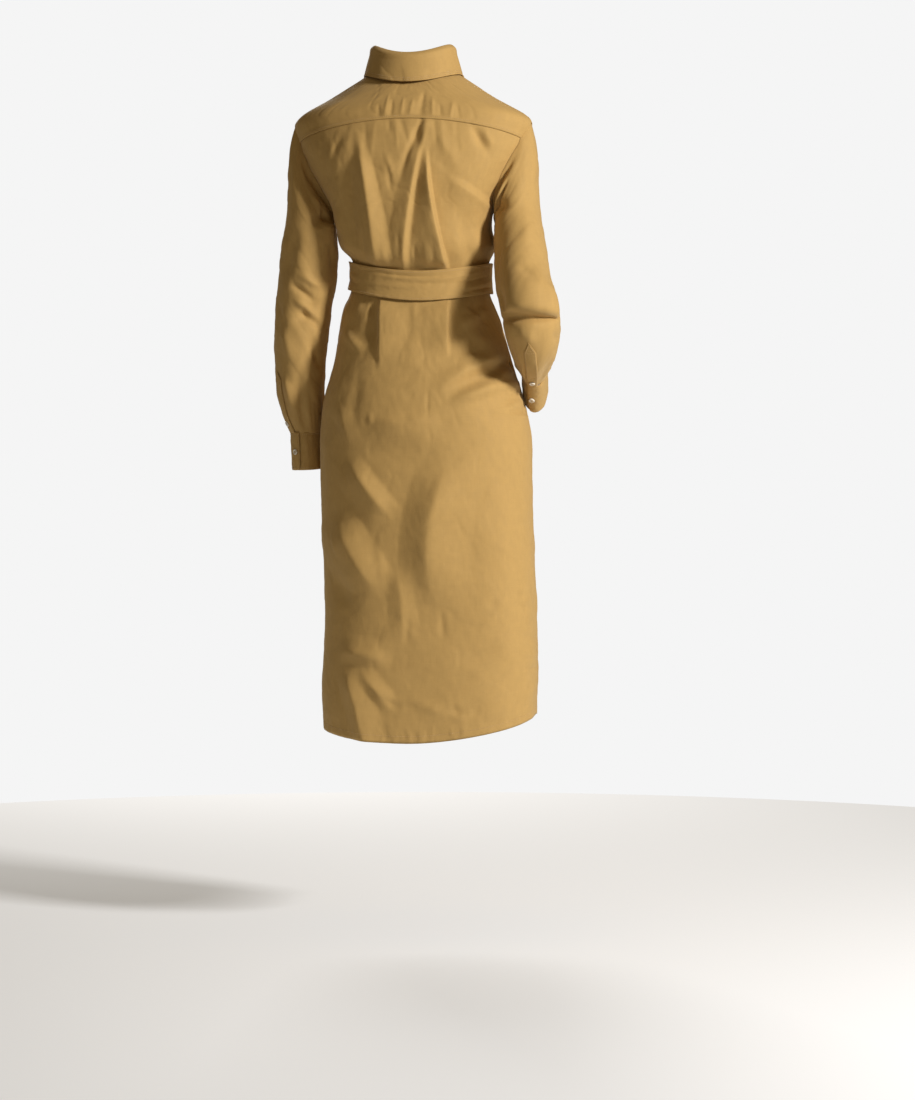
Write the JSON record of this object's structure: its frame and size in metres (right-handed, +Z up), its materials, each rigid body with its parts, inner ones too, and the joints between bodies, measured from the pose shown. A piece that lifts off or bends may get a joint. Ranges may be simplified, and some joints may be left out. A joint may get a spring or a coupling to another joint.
{
  "type": "belted shirt dress",
  "caption": "Hollow belted shirt dress in its worn form, with a turned-down collar, long cuffed sleeves, a yoke and side vents.",
  "frame": {"origin": "middle of the neck at the height of the shoulders, where the wearer's shoulders hold the dress", "axes": "+Z up the dress, -Y towards its front, +X towards its left side"},
  "size_m": [0.4888, 0.2911, 1.1499],
  "materials": {
    "cloth": "plain-weave cotton, soft sheen",
    "button": "pearly, polished"
  },
  "bodies": {
    "root": {"back": "cloth", "belt": "cloth", "belt_knot": "cloth", "belt_tail_1": "cloth", "belt_tail_2": "cloth", "button_cuff_left": "button", "button_cuff_right": "button", "button_front_1": "button", "button_front_2": "button", "button_front_3": "button", "button_front_4": "button", "button_front_5": "button", "button_front_6": "button", "button_front_7": "button", "button_front_8": "button", "button_front_9": "button", "button_placket_left": "button", "button_placket_right": "button", "collar_fall": "cloth", "collar_stand": "cloth", "cuff_left": "cloth", "cuff_right": "cloth", "front_band": "cloth", "front_left": "cloth", "front_right": "cloth", "placket_left": "cloth", "placket_right": "cloth", "pocket_left": "cloth", "pocket_right": "cloth", "sleeve_left": "cloth", "sleeve_right": "cloth", "yoke": "cloth"}
  },
  "joints": []
}
